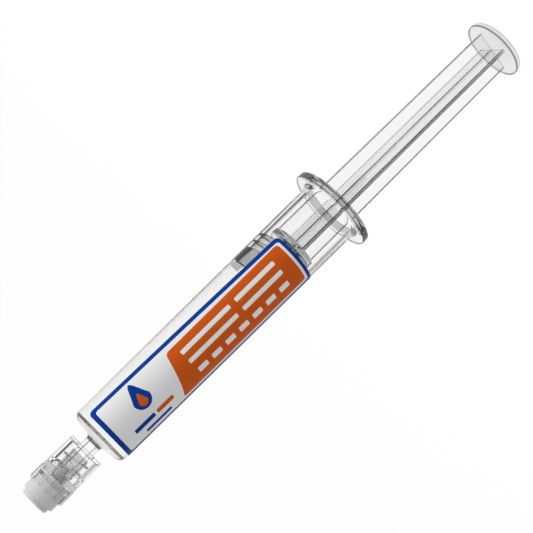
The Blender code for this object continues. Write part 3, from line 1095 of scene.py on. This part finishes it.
@dataclass
class CapPlug:
    """White core of the cap: boss, body, waist, foot, stem and seal pin."""

    body_r: float = 0.0048
    boss_r: float = 0.00405
    foot: float = 0.16785
    waist_back: float = 0.16855
    body_back: float = 0.16955
    body_front: float = 0.17455
    end: float = 0.17585
    tip_end: float = 0.16525
    waist_depth: float = 0.0006
    dimple: float = 0.0003
    stem_r: float = 0.0018
    pin_r: float = 0.00085
    pin_length: float = 0.0015

    def build(self) -> bpy.types.Object:
        """Turn the plug.

        Returns:
            The plug's object.
        """
        stem_end = self.tip_end + 0.0001
        sheet = turned(
            [
                (0.0, self.end - self.dimple),
                (self.boss_r * 0.45, self.end - self.dimple),
                (self.boss_r * 0.55, self.end, 0.0002),
                (self.boss_r, self.end, 0.0004),
                (self.boss_r, self.body_front, 0.0002),
                (self.body_r, self.body_front, 0.0004),
                (self.body_r, self.body_back, 0.0001),
                (self.body_r - self.waist_depth, self.body_back),
                (self.body_r - self.waist_depth, self.waist_back),
                (self.body_r, self.waist_back, 0.0001),
                (self.body_r, self.foot, 0.0001),
                (self.stem_r, self.foot),
                (self.stem_r, stem_end),
                (self.pin_r, stem_end),
                (self.pin_r, stem_end - self.pin_length, 0.0003),
                (0.0, stem_end - self.pin_length),
            ]
        )
        white = Solid(
            "white_plug", (0.54, 0.54, 0.54), 0.35, mottle=0.05, waviness=0.08, wave_size=0.0012
        )
        return piece(
            "cap_plug_white", sheet, Body.CAP_PLUG, ["cap_plug"], [white.build()]
        )


@dataclass
class Label:
    """Label: a satin silver film with a blue border, an orange panel and plain bars.

    Flat positions are (across, height): across runs round the wall from the label's middle
    line towards +X, and height is up the axis.
    """

    barrel: Barrel
    back: float = 0.0842
    front: float = 0.1508
    top_at_nozzle: float = math.radians(45.0)
    top_at_flange: float = math.radians(32.0)
    bottom: float = math.radians(-88.0)
    heading: float = math.radians(270.0)
    film: float = 0.00012
    gap: float = 0.00005
    ink: float = 0.000012
    score: float = math.radians(2.5)

    @property
    def girth(self) -> float:
        """Radius at which the flat label is wrapped."""
        return self.barrel.wall((self.back + self.front) / 2)

    def border(self, inset: float) -> list[tuple[float, float]]:
        """The label's outline, moved in by a width that differs a little from side to side.

        Args:
            inset: How far it is moved in.

        Returns:
            Four flat corners.
        """
        low, high = self.back + inset * 0.72, self.front - inset
        bottom = self.bottom * self.girth + inset * 1.9
        return [
            (bottom, low),
            (self.top_at_flange * self.girth - inset * 0.85, low),
            (self.top_at_nozzle * self.girth - inset, high),
            (bottom, high),
        ]

    def patch(
        self, corners: Sequence[tuple[float, float]], rounding: float, ink: Print
    ) -> bmesh.types.BMesh:
        """Make a flat patch with round corners.

        Args:
            corners: Flat corners in order.
            rounding: Radius of the corners.
            ink: The ink that it is printed in.

        Returns:
            A flat mesh in the XZ plane.
        """
        sheet = bmesh.new()
        verts = [sheet.verts.new((x, 0.0, z)) for x, z in corners]
        sheet.faces.new(verts)
        if rounding > 0.0:
            round_off(sheet, verts, rounding, 8, "VERTICES")
        for face in sheet.faces:
            face.material_index = ink
        return sheet

    def frame(self, outer: float, inner: float, ink: Print) -> bmesh.types.BMesh:
        """Make a flat band between two outlines of the label.

        Args:
            outer: Inset of its outer outline.
            inner: Inset of its inner outline.
            ink: The ink that it is printed in.

        Returns:
            A flat mesh in the XZ plane.
        """
        sheet = bmesh.new()
        for inset, rounding in ((outer, 0.0014), (inner, 0.0008)):
            side = self.patch(self.border(inset), rounding, ink)
            bmesh.ops.delete(side, geom=side.faces[:], context="FACES_ONLY")
            mesh = as_mesh("outline", side)
            sheet.from_mesh(mesh)
            bpy.data.meshes.remove(mesh)
        bmesh.ops.bridge_loops(sheet, edges=sheet.edges[:])
        for face in sheet.faces:
            face.material_index = ink
        return sheet

    def wrap(self, sheet: bmesh.types.BMesh, lift: float, thick: float) -> None:
        """Score a flat patch, wrap it round the wall and give it its thickness.

        Args:
            sheet: The patch, which is changed.
            lift: Height of its inner face over the wall.
            thick: Its thickness.
        """
        reach = [vert.co.x for vert in sheet.verts]
        first = math.ceil(min(reach) / self.girth / self.score)
        last = math.floor(max(reach) / self.girth / self.score)
        for i in range(first, last + 1):
            bmesh.ops.bisect_plane(
                sheet,
                geom=[*sheet.verts, *sheet.edges, *sheet.faces],
                dist=1e-8,
                plane_co=(i * self.score * self.girth, 0.0, 0.0),
                plane_no=(1.0, 0.0, 0.0),
            )
        for vert in sheet.verts:
            angle = self.heading + vert.co.x / self.girth
            radius = self.barrel.wall(vert.co.z) + lift
            vert.co.xy = (radius * math.cos(angle), radius * math.sin(angle))
        for face in sheet.faces:
            face.normal_update()
            if face.normal.xy.dot(face.calc_center_median().xy) < 0.0:
                face.normal_flip()
        bmesh.ops.solidify(sheet, geom=sheet.faces[:], thickness=-thick)
        bmesh.ops.recalc_face_normals(sheet, faces=sheet.faces)

    def prints(self) -> list[tuple[bmesh.types.BMesh, int]]:
        """Lay out the printed patches, each with the number of inks under it."""
        g = self.girth
        panel = [
            (math.radians(-64.0) * g, 0.1303),
            (math.radians(-64.0) * g, 0.08595),
            (math.radians(22.0) * g, 0.08595),
            (math.radians(22.0) * g, 0.1265),
        ]
        patches = [
            (self.frame(0.0, 0.00135, Print.BLUE), 0),
            (self.patch(panel, 0.0010, Print.ORANGE), 0),
            (self.drop(-0.0006, 0.1388, 0.0027, Print.BLUE), 0),
            (self.drop(-0.0012, 0.1388, 0.0013, Print.ORANGE), 1),
            (self.bar(-0.0061, 0.0013, 0.1388, 0.1456, Print.BLUE), 0),
            (self.bar(-0.0061, 0.0013, 0.1324, 0.1380, Print.ORANGE), 0),
            (self.bar(-0.0088, 0.0011, 0.1345, 0.1432, Print.BLUE), 0),
        ]
        words = ((0.0900, 0.1042), (0.1062, 0.1236))
        marks = tuple((0.0905 + i * 0.0049, 0.0937 + i * 0.0049) for i in range(7))
        for across, width, spans in (
            (0.0006, 0.0012, words),
            (-0.0024, 0.0012, words),
            (-0.0060, 0.0016, marks),
        ):
            for low, high in spans:
                patches.append((self.bar(across, width, low, high, Print.WHITE), 1))
        return patches

    def bar(
        self, across: float, width: float, low: float, high: float, ink: Print
    ) -> bmesh.types.BMesh:
        """Make a flat bar with round corners.

        Args:
            across: Its middle line.
            width: Its width.
            low: Height of its lower end.
            high: Height of its upper end.
            ink: The ink that it is printed in.

        Returns:
            A flat mesh in the XZ plane.
        """
        left, right = across - width / 2, across + width / 2
        corners = [(left, low), (right, low), (right, high), (left, high)]
        return self.patch(corners, 0.0003, ink)

    def drop(self, across: float, height: float, radius: float, ink: Print) -> bmesh.types.BMesh:
        """Make a flat drop, whose point is towards the label's top edge.

        Args:
            across: Middle of its round part.
            height: Height of its middle line.
            radius: Radius of its round part.
            ink: The ink that it is printed in.

        Returns:
            A flat mesh in the XZ plane.
        """
        sheet = bmesh.new()
        place = Matrix.Translation((across, 0.0, height)) @ Matrix.Rotation(math.pi / 2, 4, "X")
        bmesh.ops.create_circle(
            sheet, cap_ends=True, cap_tris=False, segments=32, radius=radius, matrix=place
        )
        for vert in sheet.verts:
            lead = (vert.co.x - across) / radius
            if lead > 0.0:
                vert.co.x += radius * 0.9 * lead**3
                vert.co.z = height + (vert.co.z - height) * (1.0 - 0.35 * lead)
        for face in sheet.faces:
            face.material_index = ink
        return sheet

    def build(self) -> None:
        """Build the film and its print."""
        film = self.patch(self.border(0.0), 0.0014, Print.SILVER)
        self.wrap(film, self.gap, self.film)
        silver = Solid(
            "silver_film", (0.70, 0.70, 0.705), 0.4, specular=0.3, mottle=0.03, mottle_size=0.0006
        ).build()
        piece("label_film", film, Body.BARREL, ["label"], [silver])
        inks = [
            silver,
            Solid("blue_ink", (0.0005, 0.036, 0.245), 0.4, specular=0.06, mottle=0.04).build(),
            Solid("white_ink", (0.74, 0.74, 0.74), 0.4, specular=0.3, mottle=0.04).build(),
            Solid("orange_ink", (0.54, 0.086, 0.006), 0.4, specular=0.06, mottle=0.04).build(),
        ]
        for i, (patch, under) in enumerate(self.prints()):
            self.wrap(patch, self.gap + self.film + (0.5 + 1.5 * under) * self.ink, self.ink)
            piece(f"label_print_{i + 1}", patch, Body.BARREL, (), inks)


@dataclass
class Studio:
    """Pale floor, soft light and the camera of the photograph."""

    floor_size: float = 60.0
    tone: float = 0.985
    ambient: float = 0.635
    mirrored: float = 0.80
    bounce: float = 0.12
    card_roughness: float = 0.9
    flag_height: float = 0.4
    camera_at: Vector = field(default_factory=lambda: Vector((0.0012, -0.328, 0.154)))
    tilt: float = math.radians(10.98)
    right: tuple[float, float] = (-0.7009, -0.7133)
    lens: float = 84.8

    def seen(self, tree: bpy.types.NodeTree) -> bpy.types.Node:
        """Add a switch that is one where a surface is seen, also through clear plastic.

        Args:
            tree: The nodes that it joins.

        Returns:
            The node whose value is the switch.
        """
        path = tree.nodes.new("ShaderNodeLightPath")
        switch = tree.nodes.new("ShaderNodeMath")
        switch.operation = "MAXIMUM"
        tree.links.new(path.outputs["Is Camera Ray"], switch.inputs[0])
        tree.links.new(path.outputs["Is Transmission Ray"], switch.inputs[1])
        return switch

    def spread(self, tree: bpy.types.NodeTree) -> bpy.types.Node:
        """Add the strength of the light all round, which reflections see dimmer.

        Args:
            tree: The nodes that it joins.

        Returns:
            The node whose value is the strength.
        """
        path = tree.nodes.new("ShaderNodeLightPath")
        level = tree.nodes.new("ShaderNodeMapRange")
        level.inputs["To Min"].default_value = self.ambient
        level.inputs["To Max"].default_value = self.mirrored
        tree.links.new(path.outputs["Is Glossy Ray"], level.inputs["Value"])
        return level

    def floor(self) -> bpy.types.Object:
        """Lay the pale floor that the syringe stands on.

        Returns:
            The floor's object.
        """
        sheet = bmesh.new()
        bmesh.ops.create_grid(sheet, x_segments=1, y_segments=1, size=self.floor_size / 2)
        mesh = as_mesh("floor", sheet)
        floor = placed("floor", mesh)
        material, tree, shader = new_material("pale_floor")
        dial(
            shader,
            {
                "Base Color": (self.bounce, self.bounce, self.bounce, 1.0),
                "Roughness": self.card_roughness,
                "Specular IOR Level": 0.0,
                "Emission Color": (1.0, 1.0, 1.0, 1.0),
            },
        )
        glow = tree.nodes.new("ShaderNodeMapRange")
        tree.links.new(self.spread(tree).outputs["Result"], glow.inputs["To Min"])
        glow.inputs["To Max"].default_value = self.tone - self.bounce * self.ambient
        tree.links.new(self.seen(tree).outputs["Value"], glow.inputs["Value"])
        tree.links.new(glow.outputs["Result"], shader.inputs["Emission Strength"])
        mesh.materials.append(material)
        return floor

    def sky(self) -> None:
        """Light the scene from all round with a dome that is seen as white near the floor."""
        world = bpy.data.worlds.new("studio")
        bpy.context.scene.world = world
        world.use_nodes = True
        tree = world.node_tree
        place = tree.nodes.new("ShaderNodeTexCoord")
        split = tree.nodes.new("ShaderNodeSeparateXYZ")
        tree.links.new(place.outputs["Generated"], split.inputs["Vector"])
        white = (self.tone, self.tone, self.tone)
        dark = (0.35, 0.35, 0.35)
        ramp = colour_ramp(
            tree, [(0.0, white), (0.36, white), (0.52, dark), (0.74, dark), (0.90, white)]
        )
        tree.links.new(split.outputs["Z"], ramp.inputs["Fac"])
        light = tree.nodes["Background"]
        dial(light, {"Color": (1.0, 1.0, 1.0, 1.0)})
        tree.links.new(self.spread(tree).outputs["Result"], light.inputs["Strength"])
        view = tree.nodes.new("ShaderNodeBackground")
        tree.links.new(ramp.outputs["Color"], view.inputs["Color"])
        show(
            tree,
            self.seen(tree).outputs["Value"],
            light.outputs["Background"],
            view.outputs["Background"],
            "World Output",
        )

    def softbox(self, name: str, at: Vector, to: Vector, size: float, power: float) -> None:
        """Hang a square soft lamp that the camera doesn't see.

        Args:
            name: Name of the lamp.
            at: Where it hangs.
            to: The point that it faces.
            size: Its width.
            power: Its power in watts.
        """
        lamp = bpy.data.lights.new(name, "AREA")
        lamp.size = size
        lamp.energy = power
        obj = placed(name, lamp)
        obj.location = at
        obj.rotation_euler = (to - at).to_track_quat("-Z", "Y").to_euler()
        obj.visible_camera = False
        obj.visible_glossy = False
        obj.visible_transmission = False

    def flag(self, name: str, side: float, near: float, far: float, tone: float) -> None:
        """Stand a card beside the syringe, which only the insides of clear walls mirror.

        Args:
            name: Name of the card.
            side: Its place along X.
            near: Where it starts along Y.
            far: Where it ends along Y.
            tone: Its colour, from black at zero to white at one.
        """
        sheet = bmesh.new()
        size = Matrix.Diagonal((1.0, far - near, self.flag_height, 1.0))
        at = Vector((side, (near + far) / 2, self.flag_height / 2))
        upright = Matrix.Translation(at) @ size @ Matrix.Rotation(math.pi / 2, 4, "Y")
        bmesh.ops.create_grid(sheet, x_segments=1, y_segments=1, size=0.5, matrix=upright)
        mesh = as_mesh(name, sheet)
        card = placed(name, mesh)
        material, tree, shader = new_material(name)
        dial(shader, {"Roughness": self.card_roughness})
        add_mottle(tree, shader, (tone, tone, tone), 0.2, 0.1)
        path = tree.nodes.new("ShaderNodeLightPath")
        inner = tree.nodes.new("ShaderNodeMath")
        inner.operation = "GREATER_THAN"
        inner.inputs[1].default_value = 0.5
        tree.links.new(path.outputs["Glossy Depth"], inner.inputs[0])
        clear = tree.nodes.new("ShaderNodeBsdfTransparent")
        show(tree, inner.outputs["Value"], clear.outputs["BSDF"], shader.outputs["BSDF"])
        mesh.materials.append(material)
        card.visible_camera = False
        card.visible_diffuse = False
        card.visible_glossy = False
        card.visible_shadow = False

    def camera(self) -> None:
        """Set the camera at the photograph's angle, turned so that the syringe lies across."""
        ahead = Vector((0.0, math.cos(self.tilt), -math.sin(self.tilt)))
        level = Vector((0.0, math.sin(self.tilt), math.cos(self.tilt)))
        right = Vector((self.right[0], 0.0, 0.0)) + level * self.right[1]
        right.normalize()
        above = right.cross(ahead)
        turn = Matrix((right, above, -ahead)).transposed().to_4x4()
        data = bpy.data.cameras.new("camera")
        data.lens = self.lens
        data.clip_start = 0.001
        obj = placed("camera", data)
        obj.matrix_world = Matrix.Translation(self.camera_at) @ turn
        bpy.context.scene.camera = obj

    def build(self) -> None:
        """Set up the floor, the light and the camera."""
        scene = bpy.context.scene
        scene.view_settings.view_transform = "Standard"
        scene.cycles.transparent_max_bounces = 24
        scene.cycles.max_bounces = 24
        scene.cycles.glossy_bounces = 8
        scene.cycles.transmission_bounces = 20
        self.floor()
        self.sky()
        middle = Vector((0.0, 0.0, 0.09))
        self.softbox("key", Vector((0.62, -0.17, 0.30)), middle, 0.5, 3.5)
        self.flag("dark_flag", 0.12, -0.05, 0.165, 0.10)
        self.flag("grey_flag", -0.12, -0.05, 0.45, 0.50)
        self.camera()


def main() -> None:
    """Build the sub-assemblies in order and report them."""
    logging.basicConfig(level=logging.INFO, format="%(name)s: %(message)s")
    Studio().build()
    barrel = Barrel()
    barrel.build()
    PlungerRod().build()
    Stopper().build()
    FluxColumn().build()
    LockCollar().build()
    CapShell().build()
    CapPlug().build()
    Label(barrel).build()


if __name__ == "__main__":
    main()
